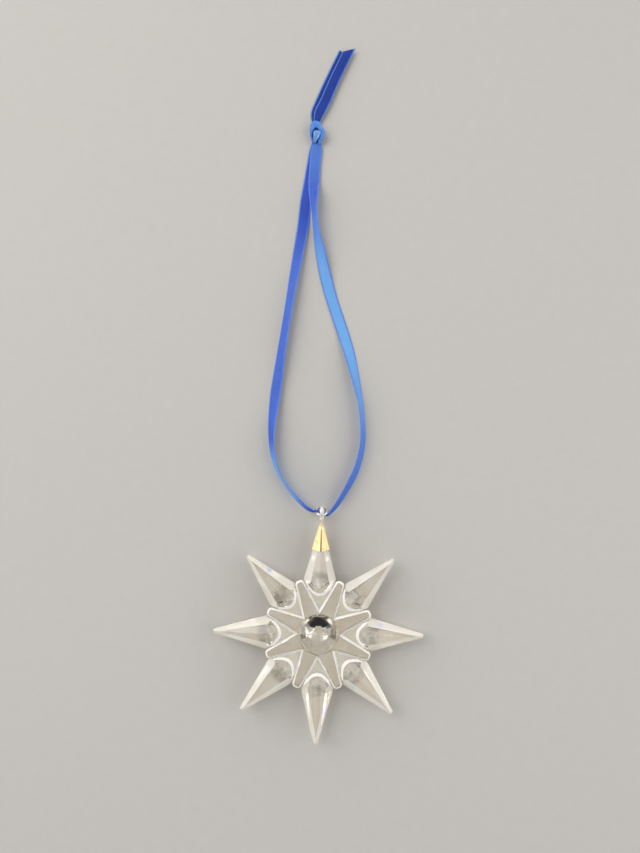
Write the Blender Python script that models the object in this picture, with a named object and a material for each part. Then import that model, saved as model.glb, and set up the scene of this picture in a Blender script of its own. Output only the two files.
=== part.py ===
"""Crystal star ornament on a ribbon: eight faceted spikes glued into a rosette,
a folded metal hanger with a ring on one point, and a tied satin ribbon loop.

Metres, +Z up. The star lies face up on z = 0 with its hanger toward +Y.
The origin is at the star's centre, on the rosette's flat back.
"""
import math

import bmesh
import bpy
from mathutils import Matrix, Vector

MM = 0.001

# Star
STAR_RADIUS = 27.5 * MM          # centre to spike tip
POINTS = 8
MID_HEIGHT = 3.5 * MM            # the star's middle plane above its back

# Centre rosette
POCKET_RADIUS = 6.0 * MM         # centre to the bottom of a V pocket
POCKET_HALF_ANGLE = math.radians(30.0)
ARM_RADIUS = 14.6 * MM           # centre to an arm's blunt end
ARM_ROUNDING = 0.95 * MM
ARM_ROUNDING_STEPS = 5
TABLE_RADIUS = 0.35 * MM         # blunt point in the middle of the face, to its sides
PAVILION_RADIUS = 4.4 * MM       # of the back's sloping facets, to their corners at the pockets
PAVILION_ARM_RADIUS = 4.65 * MM  # to their corners at the arms
CULET_SHARE = 0.18               # of those radii that the small flat in the middle of the back takes
CROWN_MARGIN = 0.4 * MM          # between the middle's eight sloping facets and the pockets
CROWN_EDGE_HEIGHT = 1.9 * MM     # of the face above the middle plane, where those facets meet the arms
ARM_END_HEIGHT = 1.7 * MM        # of the face at an arm's end
ARM_BACK_HEIGHT = 0.8 * MM       # of the arms' back below the middle plane

# Spikes
SHOULDER_HALF_WIDTH = 4.27 * MM  # half the greatest width
TIP_HALF_WIDTH = 0.5 * MM
GIRDLE_HALF_HEIGHT = 0.35 * MM   # half the upright edge along a spike's long sides
BEVEL_SLOPE = math.radians(45.0)
RIDGE_START = 11.8 * MM          # centre to the inner end of the long ridge
RIDGE_TIP_HEIGHT = 1.0 * MM      # half thickness that the ridge runs out to at the tip
SHOULDER_BREAK = 2.3 * MM        # ridge to bevel edge, across the shoulder
INNER_WALL_HALF_HEIGHT = 1.5 * MM    # also of the flat behind the wall, at the spike's inner end
NOSE_START = 10.2 * MM           # centre to where the spike rises from that flat, in a curve
NOSE_RADIUS = 3.1 * MM
NOSE_ANGLES = tuple(math.radians(a) for a in (0.0, 24.0, 48.0))
NOSE_END = 13.2 * MM             # centre to where the nose, the bevel and the roof meet

# Adhesive in the V joints
JOINT_FILM = 0.12 * MM
FILM_CLEARANCE = 0.04 * MM
JOINT_FILM_LEG = 6.4 * MM
JOINT_FILM_HALF_HEIGHT = 0.7 * MM

# Folded hanger on the north spike
FLAP_LENGTH = 5.85 * MM
FLAP_LIP = 0.5 * MM              # how far the flap's middle hangs below its corners
FLAP_OVERHANG = 0.25 * MM        # how far it stands out past the spike's long sides
HANGER_SHEET = 0.25 * MM
HANGER_FILM = 0.08 * MM
CREASE_HALF_WIDTH = 0.22 * MM
CREASE_DEPTH = 0.11 * MM
CREASE_SHOULDER = 0.36 * MM      # least distance from the crease to the fold beside it
FLAP_TIP_MARGIN = 0.5 * MM       # where the flaps turn into the neck, before the spike's tip
FLAP_FILM_MARGIN = 0.3 * MM      # how far the adhesive stays inside a flap's edges
NECK_HALF_WIDTH = 0.32 * MM
NECK_LENGTH = 1.5 * MM           # spike tip to the start of the eye
NECK_SLIT = 0.12 * MM            # between the two folded layers
EYE_OUTER_RADIUS = 2.0 * MM
EYE_HALF_WIDTH = 0.55 * MM
EYE_END_HALF_WIDTH = 0.3 * MM

# Ring through the eye
RING_RADIUS = 1.4 * MM           # to the middle of the wire
RING_WIRE_RADIUS = 0.28 * MM
RING_SPLIT = 0.15 * MM
RING_TILT = math.radians(45.0)   # its free side hangs down from the eye
RING_SEAT_BACK = 0.35 * MM       # its seat in the eye, toward the star from the eye's middle

# Ribbon
RIBBON_WIDTH = 3.2 * MM
RIBBON_THICKNESS = 0.25 * MM
BUNDLE_WIDTH = 0.6 * MM          # gathered where it passes the eye and the ring
BUNDLE_THICKNESS = 0.4 * MM
BUNDLE_CLEARANCE = 0.15 * MM
BUNDLE_SEAT = 0.85 * MM          # from the ring's seat to where the ribbon lies in the ring
BUNDLE_RISE = 0.2                # share of the way over or under the wire, at the eye's edge
RIBBON_JOIN = 0.1 * MM           # between the pieces of the ribbon
KNOT_WIDTH = 4.2 * MM
KNOT_LENGTH = 6.0 * MM
KNOT_HEIGHT = 3.0 * MM
KNOT_WRAP_WIDTH = 1.5 * MM       # across the wrap that goes round the strands
KNOT_WRAP_HEIGHT = 2.1 * MM
KNOT_WRAP_SWELL = 0.12           # how unevenly the wrap is pulled tight
KNOT_FOLD_WIDTH = 2.9 * MM       # the fold that shows inside the wrap
KNOT_FOLD_LENGTH = 4.2 * MM
KNOT_LEAN = math.radians(-16.0)
PINCH_WIDTH = 2.2 * MM           # the ribbon drawn together at the knot
FRONT_TAIL_CUT = 2.2 * MM        # how much longer the east selvedge is at the cut end
REAR_TAIL_CUT = -1.1 * MM

COMPASS = ("e", "ne", "n", "nw", "w", "sw", "s", "se")
PITCH = 2 * math.pi / POINTS
MESH_WELD = 0.001 * MM           # points closer than this are one point

CROWN_RADIUS = POCKET_RADIUS * math.cos(PITCH / 2) - CROWN_MARGIN
JOINT_GAP = JOINT_FILM + 2 * FILM_CLEARANCE
SPIKE_APEX = POCKET_RADIUS + JOINT_GAP / math.sin(POCKET_HALF_ANGLE)
SHOULDER_RADIUS = SPIKE_APEX + SHOULDER_HALF_WIDTH / math.tan(POCKET_HALF_ANGLE)
SIDE_ANGLE = math.atan2(SHOULDER_HALF_WIDTH - TIP_HALF_WIDTH, STAR_RADIUS - SHOULDER_RADIUS)
RIDGE_SLOPE = (MID_HEIGHT - RIDGE_TIP_HEIGHT) / (STAR_RADIUS - RIDGE_START)
EYE_CENTRE = STAR_RADIUS + NECK_LENGTH + EYE_OUTER_RADIUS
RING_SEAT = Vector((0, EYE_CENTRE - RING_SEAT_BACK, MID_HEIGHT))
RING_ALONG = Vector((0, math.cos(RING_TILT), -math.sin(RING_TILT)))
RING_NORMAL = Vector((0, math.sin(RING_TILT), math.cos(RING_TILT)))
BUNDLE_OVER = RING_WIRE_RADIUS + BUNDLE_WIDTH / 2 + BUNDLE_CLEARANCE
RIBBON_PIVOT = RING_SEAT + BUNDLE_SEAT * RING_ALONG
# where the gathered ribbon's near edge meets the wire's inside, to either side of the eye
RING_CROSSING = math.sqrt((RING_RADIUS - RING_WIRE_RADIUS) ** 2
                          - (RING_RADIUS - BUNDLE_SEAT + BUNDLE_THICKNESS / 2) ** 2)


def material(name, colour, roughness, metallic=0.0, transmission=0.0, ior=1.5):
    mat = bpy.data.materials.new(name)
    mat.use_nodes = True
    shader = mat.node_tree.nodes["Principled BSDF"]
    shader.inputs["Base Color"].default_value = (*colour, 1.0)
    shader.inputs["Roughness"].default_value = roughness
    shader.inputs["Metallic"].default_value = metallic
    shader.inputs["Transmission Weight"].default_value = transmission
    shader.inputs["IOR"].default_value = ior
    mat.diffuse_color = (*colour, 1.0)
    return mat


def mesh_from(bm, name):
    bmesh.ops.recalc_face_normals(bm, faces=bm.faces)
    mesh = bpy.data.meshes.new(name)
    bm.to_mesh(mesh)
    bm.free()
    return mesh


def add_object(name, mesh, mat, parent, location=(0, 0, 0), turn=0.0):
    obj = bpy.data.objects.new(name, mesh)
    bpy.context.scene.collection.objects.link(obj)
    if not mesh.materials:
        mesh.materials.append(mat)
    obj.parent = parent
    obj.location = location
    obj.rotation_euler = (0, 0, turn)
    return obj


def add_empty(name, location, parent=None):
    empty = bpy.data.objects.new(name, None)
    bpy.context.scene.collection.objects.link(empty)
    empty.empty_display_size = 2 * MM
    empty.parent = parent
    empty.location = Vector(location) - (parent.location if parent else Vector())
    return empty


def loft(sections, closed=False):
    """Skin from section to section, each a loop of as many points."""
    bm = bmesh.new()
    rings = [[bm.verts.new(p) for p in section] for section in sections]
    count = len(rings[0])
    pairs = list(zip(rings, rings[1:]))
    if closed:
        pairs.append((rings[-1], rings[0]))
    for near, far in pairs:
        for i in range(count):
            j = (i + 1) % count
            bm.faces.new((near[i], near[j], far[j], far[i]))
    if not closed:
        bm.faces.new(rings[0][::-1])
        bm.faces.new(rings[-1])
    return bm


def smooth_line(points, step):
    """Catmull-Rom curve through rows of numbers, whose first three are a position."""
    rows = [points[0]] + list(points) + [points[-1]]
    line = []
    for a, b, c, d in zip(rows, rows[1:], rows[2:], rows[3:]):
        span = math.dist(b[:3], c[:3])
        count = max(1, round(span / step))
        for k in range(count):
            t = k / count
            line.append(tuple(
                0.5 * (2 * q + (r - p) * t + (2 * p - 5 * q + 4 * r - s) * t * t
                       + (3 * q - p - 3 * r + s) * t * t * t)
                for p, q, r, s in zip(a, b, c, d)))
    line.append(tuple(points[-1]))
    return line


# Spikes: each in a frame with its length along +X
def ridge_height(u):
    return MID_HEIGHT - RIDGE_SLOPE * (u - RIDGE_START)


def side_inset(u, v):
    """Distance inward from a spike's long side."""
    return ((SHOULDER_RADIUS - u) * math.sin(SIDE_ANGLE)
            + (SHOULDER_HALF_WIDTH - abs(v)) * math.cos(SIDE_ANGLE))


def bevel_height(u, v):
    return GIRDLE_HALF_HEIGHT + math.tan(BEVEL_SLOPE) * side_inset(u, v)


ROOF_SLOPE = ((ridge_height(SHOULDER_RADIUS) - bevel_height(SHOULDER_RADIUS, SHOULDER_BREAK))
              / SHOULDER_BREAK)


BREAK_SLOPE = ((math.tan(BEVEL_SLOPE) * math.sin(SIDE_ANGLE) - RIDGE_SLOPE)
               / (math.tan(BEVEL_SLOPE) * math.cos(SIDE_ANGLE) - ROOF_SLOPE))


def roof_height(u, v):
    return ridge_height(u) - ROOF_SLOPE * abs(v)


def spike_mesh():
    wall_run = (INNER_WALL_HALF_HEIGHT - GIRDLE_HALF_HEIGHT) / math.tan(BEVEL_SLOPE)
    wall_run /= math.sin(POCKET_HALF_ANGLE + SIDE_ANGLE)
    wall_end = (SHOULDER_RADIUS - wall_run * math.cos(POCKET_HALF_ANGLE),
                SHOULDER_HALF_WIDTH - wall_run * math.sin(POCKET_HALF_ANGLE))
    nose_corner = (NOSE_END, SHOULDER_BREAK + BREAK_SLOPE * (SHOULDER_RADIUS - NOSE_END))
    ridge_end = SHOULDER_RADIUS + SHOULDER_BREAK / BREAK_SLOPE
    bm = bmesh.new()

    def face(*points):
        bm.faces.new([bm.verts.new(p) for p in points])

    def at(place, height, side, up):
        return Vector((place[0], side * place[1], up * height))

    for side in (1, -1):
        for up in (1, -1):
            apex = at((SPIKE_APEX, 0), INNER_WALL_HALF_HEIGHT, side, up)
            wall = at(wall_end, INNER_WALL_HALF_HEIGHT, side, up)
            shoulder = at((SHOULDER_RADIUS, SHOULDER_HALF_WIDTH), GIRDLE_HALF_HEIGHT, side, up)
            tip = at((STAR_RADIUS, TIP_HALF_WIDTH), GIRDLE_HALF_HEIGHT, side, up)
            tip_ridge = at((STAR_RADIUS, 0), bevel_height(STAR_RADIUS, 0), side, up)
            ridge_outer = at((ridge_end, 0), ridge_height(ridge_end), side, up)
            ridge_inner = at((RIDGE_START, 0), MID_HEIGHT, side, up)
            corner = at(nose_corner, bevel_height(*nose_corner), side, up)
            curve = [at((NOSE_START + NOSE_RADIUS * (1 - math.cos(a)), NOSE_RADIUS * math.sin(a)),
                        INNER_WALL_HALF_HEIGHT, side, up) for a in NOSE_ANGLES]
            face(shoulder, tip, tip_ridge, ridge_outer, corner, wall)
            face(ridge_outer, ridge_inner, corner)
            face(curve[-1], wall, corner)
            face(ridge_inner, curve[-1], corner)
            face(apex, curve[-1], wall)
            for a, b in zip(curve, curve[1:]):
                face(apex, a, b)
                face(ridge_inner, a, b)
            if up == 1:
                under = Matrix.Diagonal((1, 1, -1))
                face(apex, wall, shoulder, under @ shoulder, under @ wall, under @ apex)
                face(shoulder, tip, under @ tip, under @ shoulder)
                if side == 1:
                    across = Matrix.Diagonal((1, -1, 1))
                    end = [tip, tip_ridge, across @ tip]
                    face(*end, *[under @ p for p in end[::-1]])
    bmesh.ops.remove_doubles(bm, verts=bm.verts, dist=MESH_WELD)
    return mesh_from(bm, "spike")


# Rosette: eight equal sectors, each an arm along +X with its facet of the raised middle
def arm_height(along):
    fall = (CROWN_EDGE_HEIGHT - ARM_END_HEIGHT) / (ARM_RADIUS - CROWN_RADIUS)
    return CROWN_EDGE_HEIGHT - fall * (along - CROWN_RADIUS)


def arm_outline():
    """Points round an arm's end, from the bottom of one pocket to the bottom of the next."""
    taper = POCKET_HALF_ANGLE - PITCH / 2
    pocket = POCKET_RADIUS * Vector((math.cos(PITCH / 2), math.sin(PITCH / 2)))
    end_half_width = pocket.y - (ARM_RADIUS - pocket.x) * math.tan(taper)
    centre = Vector((ARM_RADIUS - ARM_ROUNDING,
                     end_half_width + ARM_ROUNDING * (math.tan(taper) - 1 / math.cos(taper))))
    left = []
    for k in range(ARM_ROUNDING_STEPS + 1):
        angle = (math.pi / 2 - taper) * k / ARM_ROUNDING_STEPS
        left.append(centre + ARM_ROUNDING * Vector((math.cos(angle), math.sin(angle))))
    left.append(pocket)
    right = [Vector((p.x, -p.y)) for p in left[::-1]]
    return right + left


def rosette_mesh():
    def corners(radius, height):
        return [Vector((radius, side * radius * math.tan(PITCH / 2), height)) for side in (1, -1)]

    rim = [Vector((p.x, p.y, arm_height(p.x))) for p in arm_outline()]
    back_rim = [Vector((p.x, p.y, -ARM_BACK_HEIGHT)) for p in rim]
    crown, table = corners(CROWN_RADIUS, CROWN_EDGE_HEIGHT), corners(TABLE_RADIUS, MID_HEIGHT)
    half = PITCH / 2
    base = [Vector((PAVILION_RADIUS * math.cos(half), PAVILION_RADIUS * math.sin(half), -ARM_BACK_HEIGHT)),
            Vector((PAVILION_ARM_RADIUS, 0, -ARM_BACK_HEIGHT)),
            Vector((PAVILION_RADIUS * math.cos(half), -PAVILION_RADIUS * math.sin(half), -ARM_BACK_HEIGHT))]
    culet = [Vector((p.x * CULET_SHARE, p.y * CULET_SHARE, -MID_HEIGHT)) for p in base]
    facets = [rim + crown, crown + table[::-1], back_rim + base]
    facets += [[a, b, d, c] for a, b, c, d in zip(base, base[1:], culet, culet[1:])]
    facets += [[a, b, d, c] for a, b, c, d in zip(rim, rim[1:], back_rim, back_rim[1:])]
    turns = [Matrix.Rotation((k + 0.5) * PITCH, 3, "Z") for k in range(POINTS)]
    bm = bmesh.new()
    for turn in turns:
        for facet in facets:
            bm.faces.new([bm.verts.new(turn @ p) for p in facet])
    for middle in (table[:1], culet[:2]):
        bm.faces.new([bm.verts.new(turn @ p) for turn in turns for p in middle[::-1]])
    bmesh.ops.remove_doubles(bm, verts=bm.verts, dist=MESH_WELD)
    return mesh_from(bm, "rosette")


# Adhesive film: an upright chevron between a pocket's walls and the spike's inner end
def joint_film_mesh():
    sine, cosine = math.sin(POCKET_HALF_ANGLE), math.cos(POCKET_HALF_ANGLE)

    def offset_line(distance):
        apex = POCKET_RADIUS + distance / sine
        legs = [(apex + JOINT_FILM_LEG * cosine, side * JOINT_FILM_LEG * sine) for side in (-1, 1)]
        return [legs[0], (apex, 0), legs[1]]

    near = offset_line(FILM_CLEARANCE)
    far = offset_line(FILM_CLEARANCE + JOINT_FILM)
    bm = bmesh.new()
    base = bm.faces.new([bm.verts.new((x, y, -JOINT_FILM_HALF_HEIGHT)) for x, y in near + far[::-1]])
    raised = bmesh.ops.extrude_face_region(bm, geom=[base])["geom"]
    bmesh.ops.translate(bm, vec=(0, 0, 2 * JOINT_FILM_HALF_HEIGHT),
                        verts=[v for v in raised if isinstance(v, bmesh.types.BMVert)])
    return mesh_from(bm, "joint_film")


# Hanger: one strip folded over the north spike's tip, in a frame with the spike along +X
def skin_height(u, v, offset):
    """Height of the spike's face, moved out square to its facets."""
    roof = roof_height(u, v) + offset * math.sqrt(1 + ROOF_SLOPE ** 2 + RIDGE_SLOPE ** 2)
    bevel = bevel_height(u, v) + offset / math.cos(BEVEL_SLOPE)
    return min(roof, bevel)


def break_half_width(u, offset):
    """Where the roof and bevel facets meet, both moved out by offset."""
    low, high = 0.0, SHOULDER_HALF_WIDTH
    for _ in range(40):
        v = (low + high) / 2
        roof = roof_height(u, v) + offset * math.sqrt(1 + ROOF_SLOPE ** 2 + RIDGE_SLOPE ** 2)
        if roof < bevel_height(u, v) + offset / math.cos(BEVEL_SLOPE):
            low = v
        else:
            high = v
    return low


def side_half_width(u):
    return SHOULDER_HALF_WIDTH - (u - SHOULDER_RADIUS) * math.tan(SIDE_ANGLE)


def flap_face(u, lip, offset, edge):
    """Points across one face of a flap; its lower edge hangs down toward the middle."""
    def along(v):
        return u - lip * (1 - abs(v) / edge)

    fold = CREASE_SHOULDER
    for _ in range(12):
        fold = max(break_half_width(along(fold), offset), CREASE_SHOULDER)
    columns = (-edge, -fold, -CREASE_HALF_WIDTH, 0.0, CREASE_HALF_WIDTH, fold, edge)
    return [Vector((along(v), v, skin_height(along(v), v, offset))) for v in columns]


def flap_section(u, lip, low, high, edge, crease=0.0):
    """A loop across a flap: its outer face, then its inner face back."""
    outer = flap_face(u, lip, high, edge)
    outer[len(outer) // 2].z -= crease
    return outer + flap_face(u, lip, low, edge)[::-1]


def strip_section(u, w, tangent, half_width):
    """A loop across the plain strip, its outer face away from the fold's inside."""
    normal = Vector((-tangent[1], 0, tangent[0])).normalized()
    columns = [half_width * s for s in (-1, -0.7, -0.3, 0, 0.3, 0.7, 1)]
    middle = Vector((u, 0, w))
    outer = [middle + Vector((0, v, 0)) + normal * HANGER_SHEET / 2 for v in columns]
    inner = [middle + Vector((0, v, 0)) - normal * HANGER_SHEET / 2 for v in columns]
    return outer + inner[::-1]


def fold_run_out(offset):
    """Length along the spike at which the roof facets narrow to the crease's shoulder."""
    low, high = SHOULDER_RADIUS, STAR_RADIUS
    for _ in range(40):
        u = (low + high) / 2
        if break_half_width(u, offset) > CREASE_SHOULDER:
            low = u
        else:
            high = u
    return low


HANGER_LOW = HANGER_FILM + 2 * FILM_CLEARANCE
HANGER_HIGH = HANGER_LOW + HANGER_SHEET
FLAP_START = STAR_RADIUS - FLAP_LENGTH
FLAP_FOLD = fold_run_out(HANGER_LOW)
FLAP_END = STAR_RADIUS - FLAP_TIP_MARGIN


def strip_line():
    """Neck and eye: rows of length along the spike, height and half width."""
    middle = (NECK_SLIT + HANGER_SHEET) / 2
    radius = EYE_OUTER_RADIUS - HANGER_SHEET / 2
    eye_start = EYE_CENTRE - EYE_OUTER_RADIUS
    tip_height = skin_height(FLAP_END, 0, HANGER_LOW) + HANGER_SHEET / 2
    rows = [(STAR_RADIUS + 0.2 * NECK_LENGTH, 0.8 * tip_height, 1.7 * NECK_HALF_WIDTH),
            (STAR_RADIUS + 0.5 * NECK_LENGTH, middle + 0.2 * tip_height, NECK_HALF_WIDTH),
            (STAR_RADIUS + 0.8 * NECK_LENGTH, middle, NECK_HALF_WIDTH),
            (eye_start - 0.02 * NECK_LENGTH, middle * 1.15, NECK_HALF_WIDTH * 1.15)]
    steps = 9
    first = math.radians(152.0)
    for k in range(steps + 1):
        angle = first * (1 - k / steps)
        swell = math.sin(math.pi * min(1.0, k / steps + 0.08)) ** 0.8
        end = EYE_END_HALF_WIDTH if k > steps / 2 else NECK_HALF_WIDTH
        rows.append((EYE_CENTRE + radius * math.cos(angle), radius * math.sin(angle),
                     end + (EYE_HALF_WIDTH - end) * max(0.0, swell)))
    return rows


def hanger_mesh():
    rows = strip_line()
    mirrored = [(u, -w, h) for u, w, h in rows[-2::-1]]
    line = rows + mirrored
    front = [flap_section(u, lip, HANGER_LOW, HANGER_HIGH, side_half_width(u) + FLAP_OVERHANG,
                          CREASE_DEPTH)
             for u, lip in ((FLAP_START, FLAP_LIP), (FLAP_FOLD, 0), (FLAP_END, 0))]
    sections = list(front)
    for i, (u, w, half_width) in enumerate(line):
        before = line[max(i - 1, 0)]
        after = line[min(i + 1, len(line) - 1)]
        sections.append(strip_section(u, w, (after[0] - before[0], after[1] - before[1]), half_width))
    flip = Matrix.Diagonal((1, 1, -1))
    sections += [[flip @ p for p in section] for section in front[::-1]]
    return mesh_from(loft(sections), "hanger")


def hanger_film_mesh():
    sections = [flap_section(u, lip, FILM_CLEARANCE, FILM_CLEARANCE + HANGER_FILM,
                             side_half_width(u) - FLAP_FILM_MARGIN)
                for u, lip in ((FLAP_START + FLAP_FILM_MARGIN, FLAP_LIP),
                               (FLAP_FOLD - FLAP_FILM_MARGIN, 0))]
    return mesh_from(loft(sections), "hanger_film")


# Ring: round wire bent to a circle, open at a butt joint on its free side
def ring_mesh():
    turns, sides = 32, 8
    gap = RING_SPLIT / RING_RADIUS / 2
    sections = []
    for k in range(turns + 1):
        angle = gap + (2 * math.pi - 2 * gap) * k / turns
        out = math.cos(angle) * RING_ALONG + math.sin(angle) * Vector((1, 0, 0))
        centre = RING_RADIUS * RING_ALONG + RING_RADIUS * out
        sections.append([centre + RING_WIRE_RADIUS * (math.cos(s) * out + math.sin(s) * RING_NORMAL)
                         for s in (2 * math.pi * i / sides for i in range(sides))])
    return mesh_from(loft(sections), "ring")


# Ribbon: flat strips whose route is given from the eye's middle; each row is
# x, y, height of the lower selvedge, lean (east selvedge up), width, thickness
def resting(x, y, lean, lift=0.0, width=RIBBON_WIDTH, thickness=RIBBON_THICKNESS):
    angle = math.radians(lean)
    height = abs(math.sin(angle)) * width / 2 + math.cos(angle) * thickness / 2
    return (x * MM, y * MM + EYE_CENTRE, height + lift * MM, lean, width, thickness)


def gathered(x, over, hand):
    """Where the gathered ribbon lies on, in or under the ring, at a place across it."""
    place = RIBBON_PIVOT + over * RING_NORMAL
    return (x, place.y, place.z, hand * math.degrees(RING_TILT), BUNDLE_WIDTH, BUNDLE_THICKNESS)


LEFT_ROUTE = [
    resting(-4.6, 107.4, 0, 0.05, PINCH_WIDTH), resting(-4.85, 104.6, 0, 0.02), resting(-5.3, 101.5, 0),
    resting(-6.1, 95.5, 0),
    resting(-6.95, 89.4, 0), resting(-7.3, 85.2, 0), resting(-7.8, 80.0, 8), resting(-9.5, 67.8, 30),
    resting(-11.1, 55.8, 44), resting(-12.6, 43.4, 38), resting(-13.7, 33.0, 24),
    resting(-14.4, 24.0, 48), resting(-14.2, 18.2, 62), resting(-13.5, 14.6, 69),
    resting(-12.3, 11.2, 75), resting(-10.3, 7.9, 77), resting(-7.4, 4.5, 72, 0.15),
    resting(-4.4, 1.7, 64, 0.9, 2.3 * MM, 0.3 * MM),
    resting(-2.5, 0.75, 50, 2.2, 1.3 * MM, 0.4 * MM),
]
RIGHT_ROUTE = [
    resting(-4.2, 107.4, 0, 0.45, PINCH_WIDTH), resting(-4.35, 104.6, 0, 0.4),
    resting(-4.6, 101.5, 0, 0.35), resting(-4.8, 95.5, 4, 0.36),
    resting(-4.7, 91.5, 30, 0.5), resting(-4.6, 88.5, 52, 0.38), resting(-4.4, 85.5, 62, 0.08),
    resting(-3.75, 80.1, 60),
    resting(-2.4, 74.1, 36), resting(-0.95, 68.1, 14), resting(0.75, 62.1, 2),
    resting(2.75, 56.2, 0), resting(4.8, 50.4, -4), resting(6.85, 44.0, -22),
    resting(8.65, 36.8, -44), resting(10.2, 29.7, -60), resting(10.85, 22.6, -60),
    resting(10.75, 19.0, -60), resting(10.15, 15.5, -58), resting(9.1, 11.9, -57),
    resting(7.5, 8.4, -58), resting(5.6, 4.9, -60, 0.05, 2.9 * MM),
    resting(3.9, 2.1, -54, 0.35, 2.1 * MM, 0.3 * MM),
    resting(2.6, 0.55, -48, 0.9, 1.3 * MM, 0.4 * MM),
]
REAR_TAIL = [resting(-5.0, 113.55, 0, 0.1, PINCH_WIDTH), resting(-4.7, 116.6, 3), resting(-3.5, 120.3, 5),
             resting(-1.1, 126.5, 6), resting(1.6, 133.0, 5), resting(2.9, 136.0, 4)]
FRONT_TAIL = [resting(-4.5, 113.55, 0, 0.65, PINCH_WIDTH), resting(-3.6, 117.0, 6, 0.45),
              resting(-2.1, 120.4, 8, 0.4), resting(0.2, 126.6, 8, 0.4),
              resting(2.9, 133.1, 8, 0.4), resting(4.4, 136.7, 8, 0.4)]
KNOT_CENTRE = Vector((-4.3 * MM, 110.45 * MM + EYE_CENTRE, 0))
ROUTE_STEP = 2.2 * MM


def strip_mesh(rows, name, origin, heading, slant=0.0):
    """A flat strip along a route; heading is 1 where it runs north and -1 where it runs south."""
    line = smooth_line(rows, ROUTE_STEP)
    sections = []
    for i, row in enumerate(line):
        place = Vector(row[:3])
        along = Vector(line[min(i + 1, len(line) - 1)][:3]) - Vector(line[max(i - 1, 0)][:3])
        side = heading * along.cross(Vector((0, 0, 1))).normalized()
        up = heading * side.cross(along).normalized()
        angle = math.radians(row[3])
        across = math.cos(angle) * side + math.sin(angle) * up
        face = math.cos(angle) * up - math.sin(angle) * side
        reach, half = across * row[4] / 2, face * row[5] / 2
        cant = along.normalized() * slant / 2 if i == len(line) - 1 else Vector()
        corners = [place + p for p in (
            -reach - half - cant, reach - half + cant, reach + half + cant, -reach + half - cant)]
        lift = Vector((0, 0, max(0.0, -min(p.z for p in corners))))
        sections.append([p + lift - origin for p in corners])
    length = sum(math.dist(a[:3], b[:3]) for a, b in zip(line, line[1:]))
    print(f"{name}: {length * 1000:.1f} mm")
    return mesh_from(loft(sections), name)


def knot_object(mat, parent):
    """A wrap round the gathered strands, and the fold that shows through it."""
    turns, sides = 28, 8
    long_reach, wide_reach = (KNOT_LENGTH - KNOT_WRAP_WIDTH) / 2, (KNOT_WIDTH - KNOT_WRAP_WIDTH) / 2
    rise = (KNOT_HEIGHT - KNOT_WRAP_HEIGHT) / 2
    sections = []
    for k in range(turns):
        angle = 2 * math.pi * k / turns
        out = Vector((math.cos(angle), math.sin(angle), 0))
        centre = Vector((wide_reach * out.x, long_reach * out.y, rise * math.sin(2 * angle)))
        thick = KNOT_WRAP_WIDTH / 2 * (1 - KNOT_WRAP_SWELL * (1 + math.cos(angle)))
        loop = []
        for i in range(sides):
            s = 2 * math.pi * i / sides
            loop.append(centre + out * thick * math.cos(s)
                        + Vector((0, 0, KNOT_WRAP_HEIGHT / 2 * math.sin(s))))
        sections.append(loop)
    bm = loft(sections, closed=True)
    bmesh.ops.rotate(bm, cent=(0, 0, 0), matrix=Matrix.Rotation(KNOT_LEAN, 3, "Z"), verts=bm.verts)
    fold = bmesh.new()
    bmesh.ops.create_uvsphere(fold, u_segments=14, v_segments=8, radius=0.5)
    bmesh.ops.scale(fold, vec=(KNOT_FOLD_WIDTH, KNOT_FOLD_LENGTH, KNOT_HEIGHT), verts=fold.verts)
    for shape in (bm, fold):
        bmesh.ops.translate(shape, vec=(0, 0, KNOT_HEIGHT / 2), verts=shape.verts)
    knot = add_object("ribbon_knot", mesh_from(bm, "ribbon_knot"), mat, parent,
                      KNOT_CENTRE - RIBBON_PIVOT)
    filler = add_object("knot_fold", mesh_from(fold, "knot_fold"), mat, parent,
                        KNOT_CENTRE - RIBBON_PIVOT)
    filler.hide_render = True
    filler.display_type = "WIRE"
    union = knot.modifiers.new("fold", "BOOLEAN")
    union.operation = "UNION"
    union.solver = "EXACT"
    union.object = filler
    return knot


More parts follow.
